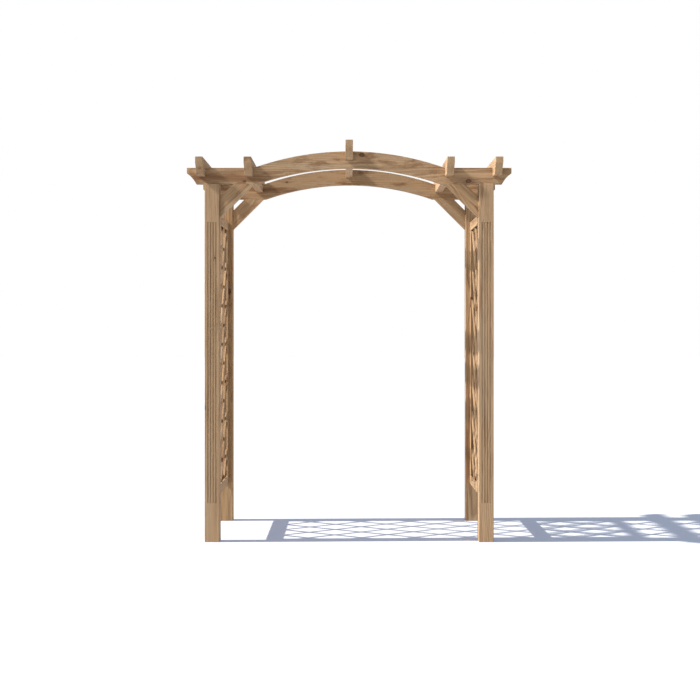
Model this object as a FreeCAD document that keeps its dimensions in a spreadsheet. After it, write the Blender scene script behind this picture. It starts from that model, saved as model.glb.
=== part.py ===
import FreeCAD, Part
import math
import os
import re

import Sketcher

# Trellis garden arch: four fluted posts, two arched beams, five rafters lapped over the beams,
# four braces and a framed diamond trellis on each side. Millimetres, +Z up, the arch spans X
# and is walked through along Y; the origin is on the ground in the middle of the four posts.

# Driving sizes. A name becomes an alias in the sheet, and every feature below is bound to it.
SIZES = {
    "post_width": 90,
    "post_height": 2170,
    "post_arris": 3,
    "post_spacing_x": 1660,
    "post_spacing_y": 930,
    "flute_count": 4,
    "flute_width": 8,
    "flute_pitch": 16,
    "flute_foot_gap": 236,
    "flute_head_gap": 231,
    "beam_thickness": 45,
    "beam_depth": 98,
    "beam_overhang": 155,
    "beam_nose": 33,
    "beam_cut_run": 57,
    "end_cove_radius": 175,
    "crown_rise": 100,
    "springing_inset": 250,
    "soffit_rise": 96,
    "soffit_inset": 17,
    "rafter_thickness": 45,
    "rafter_depth": 100,
    "rafter_overhang": 180,
    "rafter_nose": 36,
    "rafter_cut_run": 60,
    "rafter_inner_gap": 25,
    "rafter_tip_gap": 92,
    "rafter_stand": 46,
    "beam_notch_depth": 27,
    "lap_clearance": 0.3,
    "brace_width": 90,
    "brace_thickness": 45,
    "brace_heel": 80,
    "panel_foot_gap": 253,
    "panel_height": 1757,
    "frame_thickness": 34,
    "stile_width": 40,
    "rail_height": 56,
    "slot_depth": 11,
    "slat_thickness": 9,
    "slat_width": 28,
    "slat_clearance": 0.3,
    "diamond_height": 250,
    "diamond_width": 235,
}

# Sizes that follow from the driving ones.
DERIVED = {
    "flute_radius": "flute_width / 2",
    "beam_length": "post_spacing_x + 2 * beam_overhang",
    "arch_half_chord": "post_spacing_x / 2 - springing_inset",
    "rafter_inner_offset": "arch_half_chord + rafter_inner_gap",
    "rafter_outer_offset": "beam_length / 2 - rafter_tip_gap",
    "beam_notch_width": "rafter_thickness + 2 * lap_clearance",
    "rafter_notch_width": "beam_thickness + 2 * lap_clearance",
    "rafter_notch_depth": "rafter_depth - rafter_stand - beam_notch_depth",
    "rafter_length": "post_spacing_y + beam_thickness + 2 * rafter_overhang",
    "rafter_straight_z": "post_height + beam_depth + rafter_stand - rafter_depth",
    "crown_radius": "(arch_half_chord ^ 2 + crown_rise ^ 2) / (2 * crown_rise)",
    "soffit_half_chord": "arch_half_chord - soffit_inset",
    "soffit_radius": "(soffit_half_chord ^ 2 + soffit_rise ^ 2) / (2 * soffit_rise)",
    "brace_cut": "brace_width * sqrt(2)",
    "panel_half": "(post_spacing_y - post_width) / 2",
    "opening_half": "panel_half - stile_width",
    "opening_height": "panel_height - 2 * rail_height",
    "slot_half": "slat_thickness + slat_clearance",
    "tongue_reach": "slot_depth - slat_clearance",
    "lattice_half": "opening_half + tongue_reach",
    "lattice_height": "opening_height + 2 * tongue_reach",
    "slat_run": "lattice_height * diamond_width / diamond_height",
    "slat_half_cut": "slat_width / 2 * sqrt(1 + (diamond_width / diamond_height) ^ 2)",
    "slat_last": "floor((opening_half - slat_half_cut) / diamond_width)",
    "slat_first": "ceil((slat_half_cut - opening_half - slat_run) / diamond_width)",
    "slat_count": "slat_last - slat_first + 1",
}

doc = FreeCAD.newDocument("trellis_garden_arch")
sheet = doc.addObject("Spreadsheet::Sheet", "sizes")


def fill_sheet():
    """One row a size: its name, then its value or formula under the same alias."""
    rows = [(name, str(number)) for name, number in SIZES.items()]
    rows += [(name, "=" + text) for name, text in DERIVED.items()]
    for row, (name, content) in enumerate(rows, start=1):
        sheet.set("A%d" % row, name)
        sheet.set("B%d" % row, content)
        sheet.setAlias("B%d" % row, name)
    doc.recompute()


def formula(text):
    """An expression in plain size names, as an object of the document can hold it."""
    return re.sub(r"\b([a-z]+(?:_[a-z]+)+)\b", r"sizes.\1", text)


def value(text):
    return float(sheet.evalExpression(formula(text)))


def bind(target, **texts):
    """Ties properties of an object to the sheet, such as Length="post_height"."""
    for name, text in texts.items():
        target.setExpression(name, formula(text))


def new_body(label, place=("0", "0", "0"), turn=0):
    """A body at a place given by formulas, turned about Z by whole degrees."""
    body = doc.addObject("PartDesign::Body", label)
    body.Label = label
    body.Placement = FreeCAD.Placement(
        FreeCAD.Vector(0, 0, 0), FreeCAD.Rotation(FreeCAD.Vector(0, 0, 1), turn)
    )
    for axis, text in zip("xyz", place):
        body.setExpression("Placement.Base." + axis, formula(text))
    return body


def new_sketch(body, name, role, offset=("0", "0", "0")):
    """A sketch on one of the body's own origin planes, shifted within it by formulas."""
    sketch = body.newObject("Sketcher::SketchObject", name)
    plane = next(item for item in body.Origin.OriginFeatures if item.Role == role)
    sketch.AttachmentSupport = [(plane, "")]
    sketch.MapMode = "FlatFace"
    for axis, text in zip("xyz", offset):
        sketch.setExpression("AttachmentOffset.Base." + axis, formula(text))
    return sketch


def dimension(sketch, constraint, text):
    index = sketch.addConstraint(constraint)
    sketch.setExpression("Constraints[%d]" % index, formula(text))


def fix_point(sketch, line, end, across, up):
    """Places one end of a line from the sketch origin, or on an axis where it is 0."""
    if across == "0":
        sketch.addConstraint(Sketcher.Constraint("PointOnObject", line, end, -2))
    else:
        distance = Sketcher.Constraint("DistanceX", -1, 1, line, end, value(across))
        dimension(sketch, distance, across)
    if up == "0":
        sketch.addConstraint(Sketcher.Constraint("PointOnObject", line, end, -1))
    else:
        distance = Sketcher.Constraint("DistanceY", -1, 1, line, end, value(up))
        dimension(sketch, distance, up)


def arc_over(start, finish, radius):
    """An arc of that radius which bulges upward from the chord from start to finish."""
    middle = (start + finish) / 2
    half = (finish - start).Length / 2
    upward = FreeCAD.Vector(start.y - finish.y, finish.x - start.x, 0).normalize()
    if upward.y < 0:
        upward = -upward
    centre = middle - upward * math.sqrt(radius ** 2 - half ** 2)
    return Part.Arc(start, centre + upward * radius, finish)


def outline(sketch, corners, arcs=None):
    """A closed outline through corners given by formulas; arcs holds radii by segment."""
    arcs = arcs or {}
    points = [FreeCAD.Vector(value(across), value(up), 0) for across, up in corners]
    joints = []
    first = sketch.GeometryCount
    for index, start in enumerate(points):
        finish = points[(index + 1) % len(points)]
        if index in arcs:
            sketch.addGeometry(arc_over(start, finish, value(arcs[index])))
            # An arc runs anticlockwise, so the end on the right is its start.
            joints.append((1, 2) if start.x > finish.x else (2, 1))
        else:
            sketch.addGeometry(Part.LineSegment(start, finish))
            joints.append((1, 2))
    for index, (begin, end) in enumerate(joints):
        after = (index + 1) % len(points)
        sketch.addConstraint(
            Sketcher.Constraint("Coincident", first + index, end, first + after, joints[after][0])
        )
        fix_point(sketch, first + index, begin, *corners[index])
    for index, radius in arcs.items():
        curve = Sketcher.Constraint("Radius", first + index, value(radius))
        dimension(sketch, curve, radius)


def rectangle(sketch, left, bottom, right, top):
    outline(sketch, [(left, bottom), (right, bottom), (right, top), (left, top)])


def pad(body, name, sketch, length, symmetric=False, backwards=False):
    feature = body.newObject("PartDesign::Pad", name)
    feature.Profile = sketch
    feature.SideType = "Symmetric" if symmetric else "One side"
    feature.Reversed = backwards
    bind(feature, Length=length)
    body.Tip = feature
    return feature


def pocket_through(body, name, sketch):
    """Cuts a sketch right through the body, both ways from its plane."""
    feature = body.newObject("PartDesign::Pocket", name)
    feature.Profile = sketch
    feature.SideType = "Symmetric"
    feature.Type = "ThroughAll"
    body.Tip = feature
    return feature


def row_of(body, name, original, pitch, count, backwards=False):
    """Repeats a feature along its own sketch's horizontal axis."""
    feature = body.newObject("PartDesign::LinearPattern", name)
    feature.Originals = [original]
    feature.Direction = (original.Profile[0], ["H_Axis"])
    feature.Reversed = backwards
    feature.Mode = "Spacing"
    bind(feature, Offset=pitch, Occurrences=count)
    body.Tip = feature
    return feature


def upright_edges(feature):
    """Names of the straight edges of a feature that run along Z."""
    names = []
    for index, edge in enumerate(feature.Shape.Edges, start=1):
        start, finish = edge.Vertexes[0].Point, edge.Vertexes[-1].Point
        if math.hypot(start.x - finish.x, start.y - finish.y) < 0.001:
            names.append("Edge%d" % index)
    return names


def post(label, side, row):
    """A square post with eased long edges and stopped flutes on its outward face."""
    place = ("%d * post_spacing_x / 2" % side, "%d * post_spacing_y / 2" % row, "0")
    body = new_body(label, place, turn=0 if row < 0 else 180)
    section = new_sketch(body, label + "_section", "XY_Plane")
    half = "post_width / 2"
    rectangle(section, "-" + half, "-" + half, half, half)
    shaft = pad(body, label + "_shaft", section, "post_height")
    doc.recompute()
    eased = body.newObject("PartDesign::Fillet", label + "_arris")
    eased.Base = (shaft, upright_edges(shaft))
    bind(eased, Radius="post_arris")
    body.Tip = eased

    # One flute is half of a round-ended rod whose axis lies in the outward face.
    axis_x = "-(flute_count - 1) * flute_pitch / 2"
    profile = new_sketch(body, label + "_flute_profile", "XZ_Plane", (axis_x, "0", half))
    low, high = "flute_foot_gap", "(post_height - flute_head_gap)"
    radius = "flute_radius"
    flute_outline(profile, low, high, radius)
    flute = body.newObject("PartDesign::Groove", label + "_flute")
    flute.Profile = profile
    flute.ReferenceAxis = (profile, ["V_Axis"])
    flute.Angle = 360
    body.Tip = flute
    row_of(body, label + "_flutes", flute, "flute_pitch", "flute_count")
    return body


def flute_outline(sketch, low, high, radius):
    """Half of a stadium beside the vertical axis: two quarter rounds and two lines."""
    bottom, top, bulge = value(low), value(high), value(radius)
    low_centre = FreeCAD.Vector(0, bottom + bulge, 0)
    high_centre = FreeCAD.Vector(0, top - bulge, 0)
    normal = FreeCAD.Vector(0, 0, 1)
    sketch.addGeometry(Part.LineSegment(FreeCAD.Vector(0, top, 0), FreeCAD.Vector(0, bottom, 0)))
    sketch.addGeometry(
        Part.ArcOfCircle(Part.Circle(low_centre, normal, bulge), 1.5 * math.pi, 2 * math.pi)
    )
    sketch.addGeometry(
        Part.LineSegment(
            FreeCAD.Vector(bulge, bottom + bulge, 0), FreeCAD.Vector(bulge, top - bulge, 0)
        )
    )
    sketch.addGeometry(
        Part.ArcOfCircle(Part.Circle(high_centre, normal, bulge), 0, math.pi / 2)
    )
    for here, there in (((0, 2), (1, 1)), ((1, 2), (2, 1)), ((2, 2), (3, 1)), ((3, 2), (0, 1))):
        sketch.addConstraint(Sketcher.Constraint("Coincident", *here, *there))
    for centre_of in (1, 3):
        sketch.addConstraint(Sketcher.Constraint("PointOnObject", centre_of, 3, -2))
    fix_point(sketch, 0, 2, "0", low)
    fix_point(sketch, 0, 1, "0", high)
    fix_point(sketch, 2, 1, radius, low + " + " + radius)
    fix_point(sketch, 2, 2, radius, high + " - " + radius)


def arched_beam(label, row):
    """A beam with level ends and a bowed middle, notched on top for the five rafters."""
    body = new_body(label, ("0", "%d * post_spacing_y / 2" % row, "post_height"))
    profile = new_sketch(body, label + "_profile", "XZ_Plane")
    tip, toe = "beam_length / 2", "(beam_length / 2 - beam_cut_run)"
    chin = "beam_depth - beam_nose"
    outline(
        profile,
        [
            (toe, "0"),
            (tip, chin),
            (tip, "beam_depth"),
            ("arch_half_chord", "beam_depth"),
            ("-arch_half_chord", "beam_depth"),
            ("-" + tip, "beam_depth"),
            ("-" + tip, chin),
            ("-" + toe, "0"),
            ("-soffit_half_chord", "0"),
            ("soffit_half_chord", "0"),
        ],
        arcs={
            0: "end_cove_radius",
            3: "crown_radius",
            6: "end_cove_radius",
            8: "soffit_radius",
        },
    )
    pad(body, label + "_board", profile, "beam_thickness", symmetric=True)
    notches = new_sketch(body, label + "_notches", "XZ_Plane")
    for offset, lift in RAFTER_PLACES.values():
        floor = "(beam_depth - beam_notch_depth + %s)" % lift
        rectangle(
            notches,
            offset + " - beam_notch_width / 2",
            floor,
            offset + " + beam_notch_width / 2",
            floor + " + rafter_depth",
        )
    pocket_through(body, label + "_laps", notches)
    return body


# Each rafter's distance from the middle, and how far the beam has risen there.
RAFTER_PLACES = {
    "rafter_outer_left": ("-rafter_outer_offset", "0"),
    "rafter_inner_left": ("-rafter_inner_offset", "0"),
    "rafter_centre": ("0", "crown_rise"),
    "rafter_inner_right": ("rafter_inner_offset", "0"),
    "rafter_outer_right": ("rafter_outer_offset", "0"),
}


def rafter(label):
    """A rafter with shaped ends, half-lapped over the two beams."""
    offset, lift = RAFTER_PLACES[label]
    body = new_body(label, (offset, "0", "rafter_straight_z + " + lift))
    profile = new_sketch(body, label + "_profile", "YZ_Plane")
    tip, toe = "rafter_length / 2", "(rafter_length / 2 - rafter_cut_run)"
    chin = "rafter_depth - rafter_nose"
    outline(
        profile,
        [
            (toe, "0"),
            (tip, chin),
            (tip, "rafter_depth"),
            ("-" + tip, "rafter_depth"),
            ("-" + tip, chin),
            ("-" + toe, "0"),
        ],
        arcs={0: "end_cove_radius", 4: "end_cove_radius"},
    )
    pad(body, label + "_board", profile, "rafter_thickness", symmetric=True)
    notches = new_sketch(body, label + "_notches", "YZ_Plane")
    for row in (-1, 1):
        middle = "%d * post_spacing_y / 2" % row
        rectangle(
            notches,
            middle + " - rafter_notch_width / 2",
            "-rafter_notch_depth",
            middle + " + rafter_notch_width / 2",
            "rafter_notch_depth",
        )
    pocket_through(body, label + "_laps", notches)
    return body


def brace(label, side, row):
    """A brace at 45 degrees from a post's inner face up to the beam's underside."""
    corner_x = "%d * (post_spacing_x - post_width) / 2" % side
    place = (corner_x, "%d * post_spacing_y / 2" % row, "post_height")
    body = new_body(label, place, turn=0 if side > 0 else 180)
    profile = new_sketch(body, label + "_profile", "XZ_Plane")
    outline(
        profile,
        [
            ("0", "-brace_heel - brace_cut"),
            ("0", "-brace_heel"),
            ("-brace_heel", "0"),
            ("-brace_heel - brace_cut", "0"),
        ],
    )
    pad(body, label + "_board", profile, "brace_thickness", symmetric=True)
    return body


def grooved_section(sketch, depth, slot_side):
    """A rectangle beside the vertical axis of its sketch, slotted on the side given.

    The section is frame_thickness wide across and depth deep, and slot_side is +1 or -1.
    """
    half = "frame_thickness / 2"
    face = "%d * %s / 2" % (slot_side, depth)
    back = "%d * %s / 2" % (-slot_side, depth)
    floor = "%d * (%s / 2 - slot_depth)" % (slot_side, depth)
    outline(
        sketch,
        [
            ("-" + half, back),
            (half, back),
            (half, face),
            ("slot_half", face),
            ("slot_half", floor),
            ("-slot_half", floor),
            ("-slot_half", face),
            ("-" + half, face),
        ],
    )


def panel_stile(label, side, row):
    """An upright of a trellis frame, slotted along its inner edge."""
    middle_y = "%d * (panel_half - stile_width / 2)" % row
    body = new_body(label, ("%d * post_spacing_x / 2" % side, middle_y, "panel_foot_gap"))
    section = new_sketch(body, label + "_section", "XY_Plane")
    grooved_section(section, "stile_width", -row)
    pad(body, label + "_board", section, "panel_height")
    return body


def panel_rail(label, side, end):
    """A level member of a trellis frame, slotted, with a stub tenon at each end."""
    level = "panel_foot_gap + panel_height / 2 + %d * (panel_height - rail_height) / 2" % end
    body = new_body(label, ("%d * post_spacing_x / 2" % side, "0", level))
    section = new_sketch(body, label + "_section", "XZ_Plane")
    grooved_section(section, "rail_height", -end)
    pad(body, label + "_board", section, "2 * lattice_half", symmetric=True)
    cheeks = new_sketch(body, label + "_cheeks", "XY_Plane")
    for face in (-1, 1):
        for row in (-1, 1):
            rectangle(
                cheeks,
                "%d * slat_thickness" % face,
                "%d * opening_half" % row,
                "%d * frame_thickness" % face,
                "%d * (opening_half + slot_depth)" % row,
            )
    pocket_through(body, label + "_tenons", cheeks)
    return body


def lattice(label, side):
    """Two layers of slanted slats, fused where they cross, trimmed to the frame's slots.

    The slats that rise towards the rear lie on the side of the way through.
    """
    foot = "panel_foot_gap + rail_height - tongue_reach"
    body = new_body(label, ("%d * post_spacing_x / 2" % side, "0", foot))
    body.AllowCompound = True
    for lean, layer in ((1, "rising"), (-1, "falling")):
        slat = new_sketch(body, "%s_%s_slat" % (label, layer), "YZ_Plane")
        # The crossings stand on the opening's lower edge, which is tongue_reach up.
        middle = "(slat_last * diamond_width - tongue_reach * diamond_width / diamond_height)"
        outline(
            slat,
            [
                ("%d * (%s - slat_half_cut)" % (lean, middle), "0"),
                ("%d * (%s + slat_half_cut)" % (lean, middle), "0"),
                ("%d * (%s + slat_half_cut + slat_run)" % (lean, middle), "lattice_height"),
                ("%d * (%s - slat_half_cut + slat_run)" % (lean, middle), "lattice_height"),
            ],
        )
        name = "%s_%s" % (label, layer)
        first = pad(body, name, slat, "slat_thickness", backwards=lean * side > 0)
        row_of(body, name + "_row", first, "diamond_width", "slat_count", backwards=lean > 0)
    waste = new_sketch(body, label + "_waste", "YZ_Plane")
    for row in (-1, 1):
        rectangle(
            waste,
            "%d * lattice_half" % row,
            "-tongue_reach",
            "%d * (lattice_half + 2 * slat_run)" % row,
            "lattice_height + tongue_reach",
        )
    pocket_through(body, label + "_trim", waste)
    return body


def build():
    pieces = []
    for row, depth in ((-1, "front"), (1, "rear")):
        for side, hand in ((-1, "left"), (1, "right")):
            pieces.append(post("post_%s_%s" % (depth, hand), side, row))
            pieces.append(brace("brace_%s_%s" % (depth, hand), side, row))
        pieces.append(arched_beam("arched_beam_" + depth, row))
    pieces += [rafter(label) for label in RAFTER_PLACES]
    for side, hand in ((-1, "left"), (1, "right")):
        name = "trellis_%s_" % hand
        pieces.append(panel_stile(name + "front_stile", side, -1))
        pieces.append(panel_stile(name + "rear_stile", side, 1))
        pieces.append(panel_rail(name + "bottom_rail", side, -1))
        pieces.append(panel_rail(name + "top_rail", side, 1))
        pieces.append(lattice(name + "lattice", side))
    return pieces


def check(pieces):
    """Stops if any feature failed or any piece isn't a sound solid."""
    for item in doc.Objects:
        if "Invalid" in item.State or "Error" in item.State:
            raise RuntimeError("%s failed: %s" % (item.Label, item.State))
    for piece in pieces:
        shape = piece.Shape
        if shape.isNull() or not shape.isValid() or not shape.Solids:
            raise RuntimeError("%s has no sound solid" % piece.Label)


fill_sheet()
made = build()
doc.recompute()
check(made)
os.makedirs("parts", exist_ok=True)
for piece in made:
    piece.Shape.exportStep("parts/%s.step" % piece.Label)
    box = piece.Shape.BoundBox
    print(
        "%-28s %d solid(s) %9.0f cm3  x %7.1f %7.1f  y %7.1f %7.1f  z %7.1f %7.1f"
        % (
            piece.Label,
            len(piece.Shape.Solids),
            piece.Shape.Volume / 1000,
            box.XMin,
            box.XMax,
            box.YMin,
            box.YMax,
            box.ZMin,
            box.ZMax,
        )
    )
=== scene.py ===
import math
import random

import bmesh
import bpy
from bpy.props import FloatProperty, FloatVectorProperty, PointerProperty
from bpy.types import Operator, Panel, PropertyGroup
from mathutils import Matrix, Vector


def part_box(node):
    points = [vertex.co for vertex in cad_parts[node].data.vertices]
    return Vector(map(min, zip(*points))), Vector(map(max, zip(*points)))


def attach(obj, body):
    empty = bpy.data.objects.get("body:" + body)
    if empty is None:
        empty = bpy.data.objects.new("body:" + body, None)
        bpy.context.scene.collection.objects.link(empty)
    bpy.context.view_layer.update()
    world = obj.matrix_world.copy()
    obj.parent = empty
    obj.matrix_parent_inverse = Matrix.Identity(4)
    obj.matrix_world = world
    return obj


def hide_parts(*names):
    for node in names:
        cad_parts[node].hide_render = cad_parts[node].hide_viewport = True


bl_info = {
    "name": "Trellis Garden Arch",
    "version": (1, 0, 0),
    "blender": (4, 5, 0),
    "location": "View3D > Sidebar > Garden Arch",
    "description": "Dresses the timber garden arch and sets up its studio",
    "category": "Object",
}

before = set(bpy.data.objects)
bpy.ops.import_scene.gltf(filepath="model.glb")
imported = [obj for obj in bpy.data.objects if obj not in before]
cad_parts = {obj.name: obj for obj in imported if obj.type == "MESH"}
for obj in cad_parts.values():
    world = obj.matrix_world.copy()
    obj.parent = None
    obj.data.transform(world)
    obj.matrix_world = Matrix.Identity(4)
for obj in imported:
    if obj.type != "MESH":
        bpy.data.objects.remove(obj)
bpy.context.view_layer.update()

# The arch's front and rear, each with its posts, beam and braces, and its two sides.
FRAMES = ("front", "rear")
HANDS = {"left": -1, "right": 1}

# How warm a board's colour is, as painted bounce light: boards that stand in shade among other
# boards are painted warmer and darker, for the warm light that the wood around them throws
# back.
LITTLE_BOUNCE, SOME_BOUNCE, MUCH_BOUNCE, MOST_BOUNCE = 0.15, 0.5, 0.75, 1.3
POSTS = {
    "post_front_left": LITTLE_BOUNCE,
    "post_front_right": LITTLE_BOUNCE,
    "post_rear_left": MOST_BOUNCE,
    "post_rear_right": SOME_BOUNCE,
}
BEAMS = ["arched_beam_%s" % depth for depth in FRAMES]
RAFTERS = [
    "rafter_outer_left",
    "rafter_inner_left",
    "rafter_centre",
    "rafter_inner_right",
    "rafter_outer_right",
]

# Grain directions, as the board's long axis.
UPRIGHT = Vector((0, 0, 1))
ACROSS = Vector((1, 0, 0))
THROUGH = Vector((0, 1, 0))

# Marks that the timber reads from each face: an eased edge, a recess, which gets painted
# shade, and end grain.
EDGE_MARK, RECESS_SHADE_MARK, END_MARK = 0, 1, 2

# Points this near are one point, and faces this nearly level with each other are one face.
WELD, FLAT = 1e-6, math.radians(0.4)
# Edges sharper than this are eased. A post keeps the gentler ones that it already has.
BOARD_CORNER, POST_CORNER = math.radians(20), math.radians(60)
# Corners sharper than this stay crisp when a piece is shaded.
CRISP_CORNER = math.radians(50)
# Faces that look along the board by more than this share show end grain.
END_GRAIN = 0.55
# Room about a lap within which the edges of its cut stay sharp.
LAP_ROOM = 0.002
# Flutes lie within this depth of a post's face, and this far inside its edges and its ends.
FLUTE_DEPTH, FLUTE_INSET, FLUTE_STOP = 0.006, 0.006, 0.1
# Points closer than this to a face lie on it.
FLUSH = 1e-5
# How far a lath strays from its true place, in metres, and from its true slope, in degrees.
LATH_STRAY, LATH_TILT = 0.0008, 0.12

# Colours of the light, and of the haze that lifts the shadows as they are seen on the floor.
SUNLIGHT, SOFT_LIGHT = (1.0, 0.98, 0.94), (1.0, 0.99, 0.98)
SKYLIGHT, WHITE = (0.88, 0.94, 1.0, 1.0), (1.0, 1.0, 1.0, 1.0)
HAZE, HAZE_STRENGTH = (0.28, 0.46, 1.0, 1.0), 0.18

# Which stretch of the tree each board is cut from. Any other number gives other grain.
CUTS = {
    "post_front_left": 6611,
    "post_front_right": 3912,
    "post_rear_left": 6013,
    "post_rear_right": 6614,
    "arched_beam_front": 79031,
    "arched_beam_rear": 48632,
    "rafter_outer_left": 18341,
    "rafter_inner_left": 16242,
    "rafter_centre": 9643,
    "rafter_inner_right": 18044,
    "rafter_outer_right": 10545,
    "brace_front_left": 21351,
    "brace_front_right": 21052,
    "brace_rear_left": 13553,
    "brace_rear_right": 15354,
    "trellis_left_front_stile": 61,
    "trellis_left_rear_stile": 9062,
    "trellis_left_bottom_rail": 15963,
    "trellis_left_top_rail": 9664,
    "trellis_right_front_stile": 65,
    "trellis_right_rear_stile": 20766,
    "trellis_right_bottom_rail": 17767,
    "trellis_right_top_rail": 20768,
    "trellis_left_lattice": 18701,
    "trellis_right_lattice": 20901,
}


class ArchTimberSettings(PropertyGroup):
    """How the boards are finished."""

    arris: FloatProperty(
        name="Arris",
        description="Width of the eased edge on a planed board",
        default=0.0025,
        min=0.0005,
        max=0.008,
        unit="LENGTH",
    )
    lath_arris: FloatProperty(
        name="Lath arris",
        description="Width of the eased edge on a trellis lath",
        default=0.001,
        min=0.0002,
        max=0.003,
        unit="LENGTH",
    )
    ring_width: FloatProperty(
        name="Ring width",
        description="Distance between growth rings",
        default=0.0065,
        min=0.002,
        max=0.02,
        unit="LENGTH",
    )
    early_wood: FloatVectorProperty(
        name="Early wood",
        description="Colour of the pale wood between the rings",
        default=(0.700, 0.583, 0.455),
        subtype="COLOR_GAMMA",
        min=0,
        max=1,
    )
    late_wood: FloatVectorProperty(
        name="Late wood",
        description="Colour of the growth rings",
        default=(0.530, 0.410, 0.298),
        subtype="COLOR_GAMMA",
        min=0,
        max=1,
    )
    stain: FloatVectorProperty(
        name="Stain",
        description="Colour of the darker, redder patches",
        default=(0.465, 0.332, 0.228),
        subtype="COLOR_GAMMA",
        min=0,
        max=1,
    )
    silver: FloatVectorProperty(
        name="Silvering",
        description="Colour where the surface has weathered",
        default=(0.640, 0.575, 0.490),
        subtype="COLOR_GAMMA",
        min=0,
        max=1,
    )
    knot: FloatVectorProperty(
        name="Knot",
        description="Colour of the knots",
        default=(0.330, 0.215, 0.140),
        subtype="COLOR_GAMMA",
        min=0,
        max=1,
    )


class ArchTrellisSettings(PropertyGroup):
    """How the laths of the side panels cross."""

    lath_width: FloatProperty(
        name="Lath width",
        description="Width of one lath",
        default=0.028,
        unit="LENGTH",
    )
    lath_thickness: FloatProperty(
        name="Lath thickness",
        description="Thickness of one lath",
        default=0.009,
        unit="LENGTH",
    )
    diamond_width: FloatProperty(
        name="Diamond width",
        description="Width of one diamond, from crossing to crossing",
        default=0.235,
        unit="LENGTH",
    )
    diamond_height: FloatProperty(
        name="Diamond height",
        description="Height of one diamond, from crossing to crossing",
        default=0.250,
        unit="LENGTH",
    )
    slot_reach: FloatProperty(
        name="Slot reach",
        description="How far the laths run into the frame",
        default=0.0107,
        unit="LENGTH",
    )


class ArchStageSettings(PropertyGroup):
    """The camera, the lamps, the sky and the floor."""

    camera_distance: FloatProperty(
        name="Camera distance",
        description="Distance of the camera in front of the front posts",
        default=8.2,
        unit="LENGTH",
    )
    camera_height: FloatProperty(
        name="Camera height",
        description="Height of the camera over the floor",
        default=1.265,
        unit="LENGTH",
    )
    focal_length: FloatProperty(
        name="Focal length",
        description="Focal length of the lens, in millimetres",
        default=69.7,
    )
    frame_lift: FloatProperty(
        name="Frame lift",
        description="Shift of the picture frame, as a share of its width",
        default=-0.0241,
    )
    frame_drift: FloatProperty(
        name="Frame drift",
        description="Sideways shift of the picture frame, as a share of its width",
        default=0.0012,
    )
    sun_heading: FloatProperty(
        name="Sun heading",
        description="How far the sun stands in front of the arch's left side",
        default=math.radians(2),
        subtype="ANGLE",
    )
    sun_height: FloatProperty(
        name="Sun height",
        description="Height of the sun over the horizon",
        default=math.radians(37),
        subtype="ANGLE",
    )
    sun_spread: FloatProperty(
        name="Sun spread",
        description="Apparent size of the sun, which softens its shadows",
        default=math.radians(0.8),
        subtype="ANGLE",
    )
    sun_strength: FloatProperty(
        name="Sun strength",
        description="Power of the sun lamp",
        default=5.2,
    )
    fill_heading: FloatProperty(
        name="Fill heading",
        description="How far the soft lamp stands in front of the arch's left side",
        default=math.radians(36),
        subtype="ANGLE",
    )
    fill_height: FloatProperty(
        name="Fill height",
        description="Height of the soft lamp over the horizon",
        default=math.radians(36),
        subtype="ANGLE",
    )
    fill_spread: FloatProperty(
        name="Fill spread",
        description="Apparent size of the soft lamp",
        default=math.radians(5),
        subtype="ANGLE",
    )
    fill_strength: FloatProperty(
        name="Fill strength",
        description="Power of the soft lamp",
        default=2.0,
    )
    sky_strength: FloatProperty(
        name="Sky strength",
        description="Power of the even light from all round",
        default=0.36,
    )
    floor_shade: FloatVectorProperty(
        name="Floor shade",
        description="Colour of the floor",
        default=(0.92, 0.92, 0.92),
        subtype="COLOR_GAMMA",
        min=0,
        max=1,
    )
    floor_size: FloatProperty(
        name="Floor size",
        description="Side of the floor",
        default=120.0,
        unit="LENGTH",
    )


def linear(colour):
    """A colour as it is seen, turned into the light that a shader works with."""
    steps = [
        part / 12.92 if part <= 0.04045 else ((part + 0.055) / 1.055) ** 2.4 for part in colour
    ]
    return (*steps, 1.0)


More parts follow.
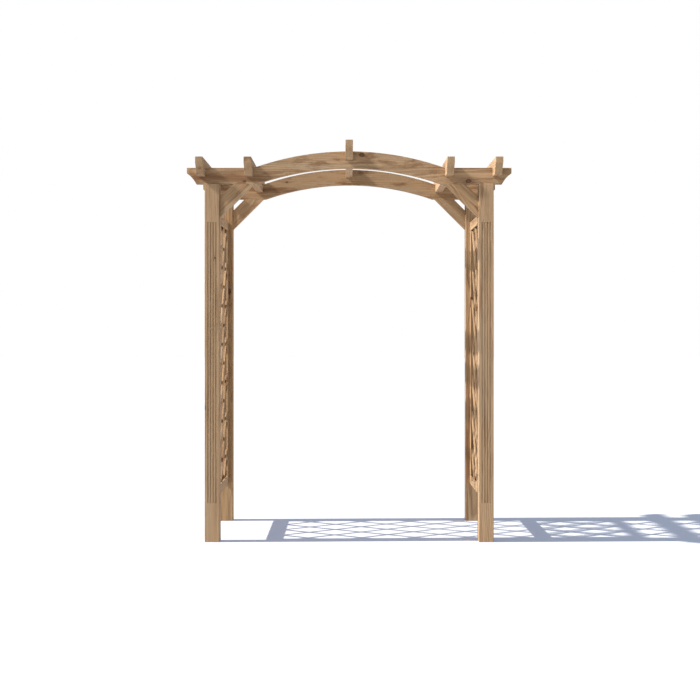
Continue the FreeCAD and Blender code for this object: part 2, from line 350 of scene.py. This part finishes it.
class Graph:
    """The nodes of a material or of the world, made and joined a line at a time."""

    def __init__(self, owner):
        owner.use_nodes = True
        self.owner = owner
        self.tree = owner.node_tree
        self.tree.nodes.clear()

    def node(self, kind, **settings):
        """A new node with its settings."""
        made = self.tree.nodes.new(kind)
        for name, setting in settings.items():
            setattr(made, name, setting)
        return made

    def feed(self, socket, source):
        """Joins a socket to another node's, or sets it to a number or a colour."""
        if isinstance(source, bpy.types.NodeSocket):
            self.tree.links.new(source, socket)
        else:
            socket.default_value = source

    def math(self, operation, first, second=0.0):
        made = self.node("ShaderNodeMath", operation=operation)
        self.feed(made.inputs[0], first)
        self.feed(made.inputs[1], second)
        return made.outputs[0]

    def vector(self, operation, first, second=(0.0, 0.0, 0.0)):
        made = self.node("ShaderNodeVectorMath", operation=operation)
        self.feed(made.inputs[0], first)
        self.feed(made.inputs[1], second)
        return made.outputs["Value" if operation == "LENGTH" else "Vector"]

    def noise(self, place, scale, detail, roughness=0.55):
        """Noise at a place stretched by scale, which has one number for each axis."""
        made = self.node("ShaderNodeTexNoise")
        self.feed(made.inputs["Vector"], self.vector("MULTIPLY", place, scale))
        self.feed(made.inputs["Scale"], 1.0)
        self.feed(made.inputs["Detail"], detail)
        self.feed(made.inputs["Roughness"], roughness)
        return made.outputs["Fac"]

    def span(self, value, low, high, out_low=0.0, out_high=1.0):
        """Carries a value from one range to another, smoothly and within its ends."""
        made = self.node("ShaderNodeMapRange", interpolation_type="SMOOTHSTEP")
        for name, number in (
            ("Value", value),
            ("From Min", low),
            ("From Max", high),
            ("To Min", out_low),
            ("To Max", out_high),
        ):
            self.feed(made.inputs[name], number)
        return made.outputs["Result"]

    def mix(self, share, first, second, blend="MIX"):
        """A share of the second colour laid over the first."""
        made = self.node("ShaderNodeMix", data_type="RGBA", blend_type=blend)
        # The colour sockets, which share their names with those for numbers and vectors.
        first_colour, second_colour, result = made.inputs[6], made.inputs[7], made.outputs[2]
        self.feed(made.inputs["Factor"], share)
        self.feed(first_colour, first)
        self.feed(second_colour, second)
        return result

    def parts(self, vector):
        """A vector's three numbers."""
        made = self.node("ShaderNodeSeparateXYZ")
        self.feed(made.inputs[0], vector)
        return made.outputs


def knots(graph, grain, figure):
    """Where knots lie: their cores, their dark rims, their own rings and the swirl around.
    A strongly figured board has more of them, but smaller ones."""
    cells_a_metre = (2.9, 8.0, 8.0)
    knotless, more_when_figured = 0.42, 0.20
    widest, narrowest, less_when_figured = 0.022, 0.0004, 0.5
    # Both are drawn out along the board, and from the pith outwards.
    knot_stretch, swirl_stretch = (0.66, 1.0, 0.36), (0.22, 1.0, 0.36)
    wobble_size, turn_rate, swirl_reach = 0.006, 2900.0, 2.7

    cells = graph.node("ShaderNodeTexVoronoi", voronoi_dimensions="3D", feature="F1")
    graph.feed(cells.inputs["Vector"], graph.vector("MULTIPLY", grain, cells_a_metre))
    graph.feed(cells.inputs["Scale"], 1.0)
    centre = graph.vector("DIVIDE", cells.outputs["Position"], cells_a_metre)
    offset = graph.vector("SUBTRACT", grain, centre)
    draw = graph.parts(cells.outputs["Color"])[0]
    chance = graph.math("ADD", draw, graph.math("MULTIPLY", figure, more_when_figured))
    radius = graph.math("ADD", graph.span(chance, knotless, 1.0, 0.0, widest), narrowest)
    smaller = graph.math("SUBTRACT", 1.0, graph.math("MULTIPLY", figure, less_when_figured))
    radius = graph.math("MULTIPLY", radius, smaller)

    wobble = graph.math("SUBTRACT", graph.noise(grain, (60.0, 110.0, 110.0), detail=2.0), 0.5)
    distance = graph.math(
        "ADD",
        graph.vector("LENGTH", graph.vector("MULTIPLY", offset, knot_stretch)),
        graph.math("MULTIPLY", wobble, wobble_size),
    )
    share = graph.math("DIVIDE", distance, radius)
    core = graph.span(share, 1.12, 0.88)
    rim = graph.math("MULTIPLY", graph.span(share, 0.62, 0.95), graph.span(share, 1.30, 1.05))
    turns = graph.math("SINE", graph.math("MULTIPLY", distance, turn_rate))
    far = graph.vector("LENGTH", graph.vector("MULTIPLY", offset, swirl_stretch))
    reach = graph.math("MULTIPLY", radius, swirl_reach)
    swirl = graph.span(graph.math("DIVIDE", far, reach), 1.0, 0.0)
    return core, rim, turns, swirl


def growth_rings(graph, grain, ring_width, swirl):
    """Late wood's share: thin dark lines about a pith, swayed along the board."""
    sway_size, ripple_size, swirl_size = 0.10, 0.0045, 0.019
    faintest, spread = 0.34, 0.50

    across = graph.vector("LENGTH", graph.vector("MULTIPLY", grain, (0.0, 1.0, 1.0)))
    sway = graph.math("SUBTRACT", graph.noise(grain, (0.9, 5.0, 5.0), detail=2.0), 0.5)
    ripple = graph.math("SUBTRACT", graph.noise(grain, (3.2, 55.0, 55.0), detail=3.0), 0.5)
    radius = graph.math("ADD", across, graph.math("MULTIPLY", sway, sway_size))
    radius = graph.math("ADD", radius, graph.math("MULTIPLY", ripple, ripple_size))
    radius = graph.math("ADD", radius, graph.math("MULTIPLY", swirl, swirl_size))
    count = graph.math("DIVIDE", radius, ring_width)
    phase = graph.math("FRACT", count)
    year = graph.node("ShaderNodeTexWhiteNoise", noise_dimensions="1D")
    graph.feed(year.inputs["W"], graph.math("FLOOR", count))
    depth = graph.math("MULTIPLY", year.outputs["Value"], spread)
    depth = graph.math("ADD", depth, faintest)
    line = graph.math("MULTIPLY", graph.span(phase, 0.30, 0.88), graph.span(phase, 1.0, 0.93))
    return graph.math("MULTIPLY", line, depth)


def drying_checks(graph, grain):
    """Where the surface has cracked along the board, in its drier stretches."""
    check = graph.noise(grain, (4.0, 210.0, 210.0), detail=1.0)
    dry = graph.noise(grain, (1.1, 12.0, 12.0), detail=1.0)
    return graph.math("MULTIPLY", graph.span(check, 0.67, 0.74), graph.span(dry, 0.45, 0.60))


def wood_colour(graph, grain, tones, ring, streak, knot_marks, bounce_warmth, figure):
    """The wood's colour, from its rings out to its stains, its silvering and its knots, then
    made warmer and darker by painted bounce light on boards in shade.
    """
    late, stain, knot = linear(tones.late_wood), linear(tones.stain), linear(tones.knot)
    core, rim, turns, swirl = knot_marks
    broad = graph.noise(grain, (1.3, 24.0, 24.0), detail=5.0, roughness=0.62)
    weather = graph.noise(grain, (0.8, 11.0, 11.0), detail=4.0, roughness=0.6)
    blotch = graph.noise(grain, (6.0, 21.0, 21.0), detail=4.0, roughness=0.6)

    colour = graph.mix(ring, linear(tones.early_wood), late)
    for pattern, low, high, most, tone in (
        (streak, 0.50, 0.72, 0.55, late),
        (weather, 0.50, 0.70, 0.50, linear(tones.silver)),
        (broad, 0.51, 0.70, 0.85, stain),
    ):
        colour = graph.mix(graph.span(pattern, low, high, 0.0, most), colour, tone)
    blotches = graph.math("MULTIPLY", graph.span(blotch, 0.48, 0.68, 0.0, 0.80), figure)
    heart = graph.mix(graph.span(turns, -1.0, 1.0, 0.30, 0.75), stain, knot)
    for share, tone in (
        (blotches, stain),
        (graph.math("MULTIPLY", swirl, 0.34), stain),
        (graph.math("MULTIPLY", core, 0.86), heart),
        (graph.math("MULTIPLY", rim, 0.72), knot),
    ):
        colour = graph.mix(share, colour, tone)
    # Painted bounce light: a board in shade is made warmer and darker.
    warm = graph.math("MULTIPLY", bounce_warmth, 0.5)
    return graph.mix(warm, colour, (1.0, 0.90, 0.72, 1.0), blend="MULTIPLY")


def lightened(graph, colour, fibre, paleness, marks, cracked):
    """A colour made lighter or darker by the fibres, the marks of the face and the cracks,
    with painted shade darkening the recesses.
    """
    eased, recess, end = graph.parts(marks)[:3]
    light = graph.span(fibre, 0.28, 0.72, 0.87, 1.09)
    for factor in (
        graph.math("ADD", graph.math("MULTIPLY", paleness, 0.08), 1.0),
        graph.span(eased, 0.0, 1.0, 1.0, 1.10),
        # Painted shade: the faces of a recess are darkened, as if by their own shade.
        graph.span(recess, 0.0, 1.0, 1.0, 0.85),
        graph.span(end, 0.0, 1.0, 1.0, 0.93),
        graph.span(cracked, 0.0, 1.0, 1.0, 0.55),
    ):
        light = graph.math("MULTIPLY", light, factor)
    brightness = graph.node("ShaderNodeCombineXYZ")
    for socket in brightness.inputs:
        graph.feed(socket, light)
    return graph.mix(1.0, colour, brightness.outputs[0], blend="MULTIPLY")


def timber(name, tones):
    """Planed softwood. It reads where a point lies in its board from the grain attribute,
    whose first number runs along the board, the marks of each face from finish, among them
    the painted shade of recesses, and how pale, how warm and how strongly figured the board
    is from board, the warm tone being painted bounce light."""
    graph = Graph(bpy.data.materials.new(name))
    grain, marks, board = (
        graph.node("ShaderNodeAttribute", attribute_name=kind).outputs["Vector"]
        for kind in ("grain", "finish", "board")
    )
    paleness, bounce_warmth, figure = graph.parts(board)[:3]
    knot_marks = knots(graph, grain, figure)
    core, swirl = knot_marks[0], knot_marks[3]
    ring = growth_rings(graph, grain, tones.ring_width, swirl)
    streak = graph.noise(grain, (2.6, 75.0, 75.0), detail=4.0, roughness=0.6)
    fibre = graph.noise(grain, (11.0, 520.0, 520.0), detail=4.0, roughness=0.7)
    cracked = drying_checks(graph, grain)
    colour = wood_colour(graph, grain, tones, ring, streak, knot_marks, bounce_warmth, figure)
    colour = lightened(graph, colour, fibre, paleness, marks, cracked)

    # The soft wood wears down between the rings. Fibres and knots stand out, checks gape.
    relief = graph.math("MULTIPLY", ring, 0.45)
    for part, rise in ((fibre, 0.55), (streak, 0.35), (core, 0.40), (cracked, -1.30)):
        relief = graph.math("ADD", relief, graph.math("MULTIPLY", part, rise))
    bump = graph.node("ShaderNodeBump")
    graph.feed(bump.inputs["Height"], relief)
    graph.feed(bump.inputs["Strength"], 0.55)
    graph.feed(bump.inputs["Distance"], 0.0009)

    shader = graph.node("ShaderNodeBsdfPrincipled")
    graph.feed(shader.inputs["Base Color"], colour)
    gloss = graph.math("ADD", ring, graph.math("MULTIPLY", fibre, 0.4))
    graph.feed(shader.inputs["Roughness"], graph.span(gloss, 0.0, 1.2, 0.84, 0.64))
    shader.inputs["Specular IOR Level"].default_value = 0.32
    graph.feed(shader.inputs["Normal"], bump.outputs["Normal"])
    output = graph.node("ShaderNodeOutputMaterial")
    graph.feed(output.inputs["Surface"], shader.outputs["BSDF"])
    return graph.owner


def timber_of(slot):
    """The timber of one of the record's material slots, made once."""
    name = "timber_" + slot
    if name in bpy.data.materials:
        return bpy.data.materials[name]
    return timber(name, bpy.context.scene.arch_timber)


def set_grain(bm, along, middle, seed, bounce_warmth, figure=0.0):
    """Writes where each vertex lies in its board, shifted so that no two boards match, and
    how pale, warm and strongly figured the board is; how warm is painted bounce light."""
    layer = bm.verts.layers.float_vector["grain"]
    tint = bm.verts.layers.float_vector["board"]
    draw = random.Random(seed)
    shift = Vector((draw.uniform(3, 60), draw.uniform(-0.10, 0.10), draw.uniform(0.05, 0.16)))
    # The pith lies off the board's wide face, so the knots come out there and look round.
    if along == UPRIGHT:
        turn = Matrix(((0, 0, 1), (1, 0, 0), (0, 1, 0)))
    else:
        rows = along.to_track_quat("X", "Z").to_matrix().transposed()
        turn = Matrix((rows[0], rows[2], rows[1]))
    # The second number is painted bounce light, higher on boards in shade, with a little
    # random tone.
    shades = Vector((draw.uniform(-1, 1), bounce_warmth + draw.uniform(-0.15, 0.15), figure))
    for vert in bm.verts:
        vert[layer] = turn @ (vert.co - middle) + shift
        vert[tint] = shades


def mark(bm, faces, which):
    """Notes an eased edge, a recess, which the timber darkens as painted shade, or end grain
    on faces, for the timber to read.
    """
    layer = bm.faces.layers.float_vector["finish"]
    for face in faces:
        marks = face[layer].copy()
        marks[which] = 1.0
        face[layer] = marks


def ease(bm, edges, width):
    """Rounds sharp edges and marks the new faces as eased."""
    before = set(bm.faces)
    made = bmesh.ops.bevel(
        bm,
        geom=edges,
        offset=width,
        offset_type="OFFSET",
        segments=2,
        profile=0.5,
        affect="EDGES",
        material=-1,
        clamp_overlap=True,
    )
    mark(bm, [face for face in made["faces"] if face not in before], EDGE_MARK)


def middle_of(edge):
    """The point halfway along an edge."""
    return (edge.verts[0].co + edge.verts[1].co) / 2


def overlap_of(first, second, margin):
    """The box that two nodes share, grown by a margin, or None."""
    (low_a, high_a), (low_b, high_b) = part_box(first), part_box(second)
    low = Vector(max(pair) - margin for pair in zip(low_a, low_b))
    high = Vector(min(pair) + margin for pair in zip(high_a, high_b))
    return (low, high) if all(a < b for a, b in zip(low, high)) else None


def inside(point, boxes):
    """Whether a point lies in any of the boxes."""
    return any(
        all(low <= part <= high for low, part, high in zip(box[0], point, box[1]))
        for box in boxes
    )


def new_board():
    """An empty mesh that can hold the grain and the marks of its faces."""
    bm = bmesh.new()
    bm.verts.layers.float_vector.new("grain")
    bm.verts.layers.float_vector.new("board")
    bm.faces.layers.float_vector.new("finish")
    return bm


def merged_copy(node):
    """A node's mesh with its loose triangles joined and its flat faces made whole."""
    bm = new_board()
    bm.from_mesh(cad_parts[node].data)
    bmesh.ops.remove_doubles(bm, verts=bm.verts, dist=WELD)
    bmesh.ops.dissolve_limit(
        bm, angle_limit=FLAT, verts=bm.verts, edges=bm.edges, delimit=set()
    )
    return bm


def finished(bm, name, nodes, slot):
    """Turns a mesh into a piece that stands for its nodes, smooth but for its sharp edges."""
    mesh = bpy.data.meshes.new(name)
    bm.to_mesh(mesh)
    bm.free()
    mesh.shade_smooth()
    mesh.set_sharp_from_angle(angle=CRISP_CORNER)
    piece = bpy.data.objects.new(name, mesh)
    bpy.context.scene.collection.objects.link(piece)
    mesh.materials.append(timber_of(slot))
    even = piece.modifiers.new("Even shading", "WEIGHTED_NORMAL")
    even.keep_sharp = True
    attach(piece, "root")
    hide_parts(*nodes)


def finish_board(bm, node, along, slot, bounce_warmth, figure=0.0):
    """Marks a board's ends, gives it its grain and lets it stand for its node."""
    ends = [face for face in bm.faces if abs(face.normal.dot(along)) > END_GRAIN]
    mark(bm, ends, END_MARK)
    low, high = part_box(node)
    set_grain(bm, along, (low + high) / 2, CUTS[node], bounce_warmth, figure)
    finished(bm, "timber_" + node, [node], slot)


def dress_board(node, along, slot, bounce_warmth, laps=(), figure=0.0):
    """Eases a board's edges, apart from those cut for a lap, and gives it its grain."""
    bm = merged_copy(node)
    edges = [
        edge
        for edge in bm.edges
        if edge.calc_face_angle(0.0) > BOARD_CORNER and not inside(middle_of(edge), laps)
    ]
    ease(bm, edges, bpy.context.scene.arch_timber.arris)
    finish_board(bm, node, along, slot, bounce_warmth, figure)


def dress_post(node, bounce_warmth):
    """Eases a post's edges, apart from those of its flutes, paints shade into its flutes and
    gives it its grain.
    """
    low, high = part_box(node)
    outward = -1 if low.y + high.y < 0 else 1
    fluted_face = low.y if outward < 0 else high.y
    middle, half = (high.x + low.x) / 2, (high.x - low.x) / 2

    def flute_depth(point):
        """How deep a point lies under the fluted face, or None away from the flutes."""
        depth = (fluted_face - point.y) * outward
        among_flutes = (
            abs(point.x - middle) < half - FLUTE_INSET
            and low.z + FLUTE_STOP < point.z < high.z - FLUTE_STOP
        )
        return depth if among_flutes and -FLUSH < depth < FLUTE_DEPTH else None

    bm = merged_copy(node)
    edges = [
        edge
        for edge in bm.edges
        if edge.calc_face_angle(0.0) > POST_CORNER and flute_depth(middle_of(edge)) is None
    ]
    ease(bm, edges, bpy.context.scene.arch_timber.arris)
    # The faces in the flutes get painted shade.
    shade_painted_hollows = [
        face for face in bm.faces if (flute_depth(face.calc_center_median()) or 0.0) > FLUSH
    ]
    mark(bm, shade_painted_hollows, RECESS_SHADE_MARK)
    finish_board(bm, node, UPRIGHT, "post_wood", bounce_warmth)


class ArchOperator(Operator):
    """What the arch's operators share."""

    bl_options = {"REGISTER", "UNDO"}


class ARCH_OT_posts(ArchOperator):
    """Dress the four fluted posts"""

    bl_idname = "arch.posts"
    bl_label = "Posts"

    def execute(self, context):
        for node, bounce_warmth in POSTS.items():
            dress_post(node, bounce_warmth)
        return {"FINISHED"}


class ARCH_OT_beams(ArchOperator):
    """Dress the two arched beams"""

    bl_idname = "arch.beams"
    bl_label = "Arched beams"

    def execute(self, context):
        for node in BEAMS:
            laps = [overlap_of(node, rafter, LAP_ROOM) for rafter in RAFTERS]
            # The rear beam stands in shade, so it gets more painted bounce light.
            bounce_warmth = LITTLE_BOUNCE if node.endswith("front") else MUCH_BOUNCE
            dress_board(node, ACROSS, "beam_wood", bounce_warmth, laps, figure=1.0)
        return {"FINISHED"}


class ARCH_OT_rafters(ArchOperator):
    """Dress the five rafters"""

    bl_idname = "arch.rafters"
    bl_label = "Rafters"

    def execute(self, context):
        for node in RAFTERS:
            laps = [overlap_of(node, beam, LAP_ROOM) for beam in BEAMS]
            dress_board(node, THROUGH, "rafter_wood", LITTLE_BOUNCE, laps)
        return {"FINISHED"}


class ARCH_OT_braces(ArchOperator):
    """Dress the four corner braces"""

    bl_idname = "arch.braces"
    bl_label = "Braces"

    def execute(self, context):
        for depth in FRAMES:
            for hand, side in HANDS.items():
                along = Vector((-side, 0, 1)).normalized()
                node = "brace_%s_%s" % (depth, hand)
                dress_board(node, along, "brace_wood", MUCH_BOUNCE)
        return {"FINISHED"}


class ARCH_OT_panel_frames(ArchOperator):
    """Dress the frames of the two trellis panels"""

    bl_idname = "arch.panel_frames"
    bl_label = "Panel frames"

    def execute(self, context):
        for hand in HANDS:
            for piece, along in (
                ("front_stile", UPRIGHT),
                ("rear_stile", UPRIGHT),
                ("bottom_rail", THROUGH),
                ("top_rail", THROUGH),
            ):
                node = "trellis_%s_%s" % (hand, piece)
                dress_board(node, along, "panel_wood", MUCH_BOUNCE)
        return {"FINISHED"}


def add_lath(bm, foot, lean, outward, low, high, seed):
    """One lath of a panel: a board from the lower edge up, trimmed to the frame's slots."""
    trellis = bpy.context.scene.arch_trellis
    draw = random.Random(seed)
    slope = math.atan2(trellis.diamond_height, trellis.diamond_width)
    along = Vector((0, lean * math.cos(slope), math.sin(slope)))
    # Longer than any lath of the panel, so that each can be trimmed.
    length = 2.2 * (high.z - low.z)
    lath = new_board()
    bmesh.ops.create_cube(lath, size=1.0)
    size = (trellis.lath_thickness, length, trellis.lath_width)
    bmesh.ops.scale(lath, vec=size, verts=lath.verts)
    turn = slope if lean > 0 else math.pi - slope
    turn += math.radians(draw.uniform(-LATH_TILT, LATH_TILT))
    bmesh.ops.rotate(
        lath, cent=(0, 0, 0), matrix=Matrix.Rotation(turn, 3, "X"), verts=lath.verts
    )
    middle_x = (low.x + high.x) / 2 + outward * trellis.lath_thickness / 2
    foot += draw.uniform(-LATH_STRAY, LATH_STRAY)
    middle = Vector((middle_x, foot, 0)) + along * length / 4
    middle.z += low.z + trellis.slot_reach
    bmesh.ops.translate(lath, vec=middle, verts=lath.verts)
    for point, away in (
        ((0, low.y, 0), (0, -1, 0)),
        ((0, high.y, 0), (0, 1, 0)),
        ((0, 0, low.z), (0, 0, -1)),
        ((0, 0, high.z), (0, 0, 1)),
    ):
        geometry = lath.verts[:] + lath.edges[:] + lath.faces[:]
        bmesh.ops.bisect_plane(
            lath, geom=geometry, plane_co=point, plane_no=away, clear_outer=True
        )
        rim = [edge for edge in lath.edges if edge.is_boundary]
        if rim:
            bmesh.ops.holes_fill(lath, edges=rim)
    if not lath.verts:
        lath.free()
        return
    bmesh.ops.recalc_face_normals(lath, faces=lath.faces)
    edges = [edge for edge in lath.edges if edge.calc_face_angle(0.0) > BOARD_CORNER]
    ease(lath, edges, bpy.context.scene.arch_timber.lath_arris)
    set_grain(lath, along, middle, seed, MUCH_BOUNCE)
    scratch = bpy.data.meshes.new("lath")
    lath.to_mesh(scratch)
    lath.free()
    bm.from_mesh(scratch)
    bpy.data.meshes.remove(scratch)


class ARCH_OT_lattices(ArchOperator):
    """Lay the crossing laths of the two trellis panels"""

    bl_idname = "arch.lattices"
    bl_label = "Lattices"

    def execute(self, context):
        trellis = context.scene.arch_trellis
        for hand, side in HANDS.items():
            node = "trellis_%s_lattice" % hand
            seed = CUTS[node]
            low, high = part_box(node)
            proportion = trellis.diamond_width / trellis.diamond_height
            # How far a lath runs sideways on its way up, and what it needs to stay inside.
            run = (high.z - low.z) * proportion
            room = trellis.slot_reach + trellis.lath_width / 2 * math.sqrt(1 + proportion**2)
            half = high.y
            first = math.ceil((room - half - run) / trellis.diamond_width)
            last = math.floor((half - room) / trellis.diamond_width)
            bm = new_board()
            for step in range(first, last + 1):
                # The laths that rise towards the rear lie on the side of the way through.
                for lean in (1, -1):
                    foot = lean * step * trellis.diamond_width
                    add_lath(bm, foot, lean, -lean * side, low, high, seed)
                    seed += 1
            finished(bm, "laths_" + hand, [node], "slat_wood")
        return {"FINISHED"}


class ARCH_OT_stage(ArchOperator):
    """Set up the camera, the lamps, the sky and the floor"""

    bl_idname = "arch.stage"
    bl_label = "Stage"

    def execute(self, context):
        stage = context.scene.arch_stage
        set_camera(stage)
        set_lamp(
            "sun",
            stage.sun_heading,
            stage.sun_height,
            stage.sun_spread,
            stage.sun_strength,
            SUNLIGHT,
        )
        fill = set_lamp(
            "fill",
            stage.fill_heading,
            stage.fill_height,
            stage.fill_spread,
            stage.fill_strength,
            SOFT_LIGHT,
        )
        set_sky(stage)
        keep_off(fill, lay_floor(stage))
        context.scene.view_settings.view_transform = "Standard"
        return {"FINISHED"}


def set_camera(stage):
    """A camera in front of the arch's middle, which looks straight through it."""
    camera = bpy.data.cameras.new("camera")
    camera.lens = stage.focal_length
    camera.sensor_width = 36.0
    camera.shift_x = stage.frame_drift
    camera.shift_y = stage.frame_lift
    camera.dof.use_dof = False
    camera.clip_end = 500.0
    holder = bpy.data.objects.new("camera", camera)
    post_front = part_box("post_front_left")[0].y
    holder.location = (0.0, post_front - stage.camera_distance, stage.camera_height)
    holder.rotation_euler = (math.radians(90), 0.0, 0.0)
    bpy.context.scene.collection.objects.link(holder)
    bpy.context.scene.camera = holder


def set_lamp(name, heading, height, spread, strength, colour):
    """A distant lamp at a heading from the left side towards the front."""
    lamp = bpy.data.lights.new(name, "SUN")
    lamp.energy = strength
    lamp.angle = spread
    lamp.color = colour
    holder = bpy.data.objects.new(name, lamp)
    level = math.cos(height)
    toward = Vector((-level * math.cos(heading), -level * math.sin(heading), math.sin(height)))
    holder.rotation_euler = toward.to_track_quat("Z", "Y").to_euler()
    # It lights alike from any distance, and is easy to pick there.
    holder.location = toward * 10
    bpy.context.scene.collection.objects.link(holder)
    return holder


def keep_off(lamp, thing):
    """Keeps a lamp's light off one thing, so that it throws no second shadow there."""
    spared = bpy.data.collections.new(lamp.name + "_spares")
    spared.objects.link(thing)
    spared.collection_objects[0].light_linking.link_state = "EXCLUDE"
    lamp.light_linking.receiver_collection = spared


def seen_directly(graph):
    """1 where the camera, a gloss or a clear material sees the surface, and 0 for light."""
    path = graph.node("ShaderNodeLightPath").outputs
    seen = graph.math("MAXIMUM", path["Is Camera Ray"], path["Is Glossy Ray"])
    return graph.math("MAXIMUM", seen, path["Is Transmission Ray"])


def set_sky(stage):
    """White where it is seen, and an even pale blue where it lights the arch."""
    graph = Graph(bpy.data.worlds.new("sky"))
    light = graph.node("ShaderNodeBackground")
    light.inputs["Color"].default_value = SKYLIGHT
    light.inputs["Strength"].default_value = stage.sky_strength
    white = graph.node("ShaderNodeBackground")
    white.inputs["Color"].default_value = WHITE
    white.inputs["Strength"].default_value = 1.0
    choice = graph.node("ShaderNodeMixShader")
    graph.feed(choice.inputs[0], seen_directly(graph))
    graph.feed(choice.inputs[1], light.outputs[0])
    graph.feed(choice.inputs[2], white.outputs[0])
    output = graph.node("ShaderNodeOutputWorld")
    graph.feed(output.inputs["Surface"], choice.outputs[0])
    bpy.context.scene.world = graph.owner


def lay_floor(stage):
    """A plain pale floor, which keeps the arch's shadow."""
    bm = bmesh.new()
    bmesh.ops.create_grid(bm, x_segments=1, y_segments=1, size=stage.floor_size / 2)
    mesh = bpy.data.meshes.new("floor")
    bm.to_mesh(mesh)
    bm.free()
    floor = bpy.data.objects.new("floor", mesh)
    bpy.context.scene.collection.objects.link(floor)
    graph = Graph(bpy.data.materials.new("floor"))
    matt = graph.node("ShaderNodeBsdfDiffuse")
    matt.inputs["Color"].default_value = linear(stage.floor_shade)
    haze = graph.node("ShaderNodeEmission")
    haze.inputs["Color"].default_value = HAZE
    strength = graph.math("MULTIPLY", seen_directly(graph), HAZE_STRENGTH)
    graph.feed(haze.inputs["Strength"], strength)
    both = graph.node("ShaderNodeAddShader")
    graph.feed(both.inputs[0], matt.outputs[0])
    graph.feed(both.inputs[1], haze.outputs[0])
    output = graph.node("ShaderNodeOutputMaterial")
    graph.feed(output.inputs["Surface"], both.outputs[0])
    mesh.materials.append(graph.owner)
    return floor


GROUPS = {
    "arch_timber": ArchTimberSettings,
    "arch_trellis": ArchTrellisSettings,
    "arch_stage": ArchStageSettings,
}
STEPS = (
    ARCH_OT_posts,
    ARCH_OT_beams,
    ARCH_OT_rafters,
    ARCH_OT_braces,
    ARCH_OT_panel_frames,
    ARCH_OT_lattices,
    ARCH_OT_stage,
)


class ARCH_PT_panel(Panel):
    """The arch's steps and settings in the sidebar"""

    bl_label = "Garden Arch"
    bl_idname = "ARCH_PT_panel"
    bl_space_type = "VIEW_3D"
    bl_region_type = "UI"
    bl_category = "Garden Arch"

    def draw(self, context):
        for step in STEPS:
            self.layout.operator(step.bl_idname)
        for group in GROUPS:
            settings = getattr(context.scene, group)
            box = self.layout.box()
            for name in settings.__annotations__:
                box.prop(settings, name)


def register():
    for group in GROUPS.values():
        bpy.utils.register_class(group)
    for name, group in GROUPS.items():
        setattr(bpy.types.Scene, name, PointerProperty(type=group))
    for item in STEPS + (ARCH_PT_panel,):
        bpy.utils.register_class(item)


def unregister():
    for item in (ARCH_PT_panel,) + STEPS[::-1]:
        bpy.utils.unregister_class(item)
    for name, group in GROUPS.items():
        delattr(bpy.types.Scene, name)
        bpy.utils.unregister_class(group)


def main():
    register()
    bpy.ops.arch.posts()
    bpy.ops.arch.beams()
    bpy.ops.arch.rafters()
    bpy.ops.arch.braces()
    bpy.ops.arch.panel_frames()
    bpy.ops.arch.lattices()
    bpy.ops.arch.stage()


if __name__ == "__main__":
    main()
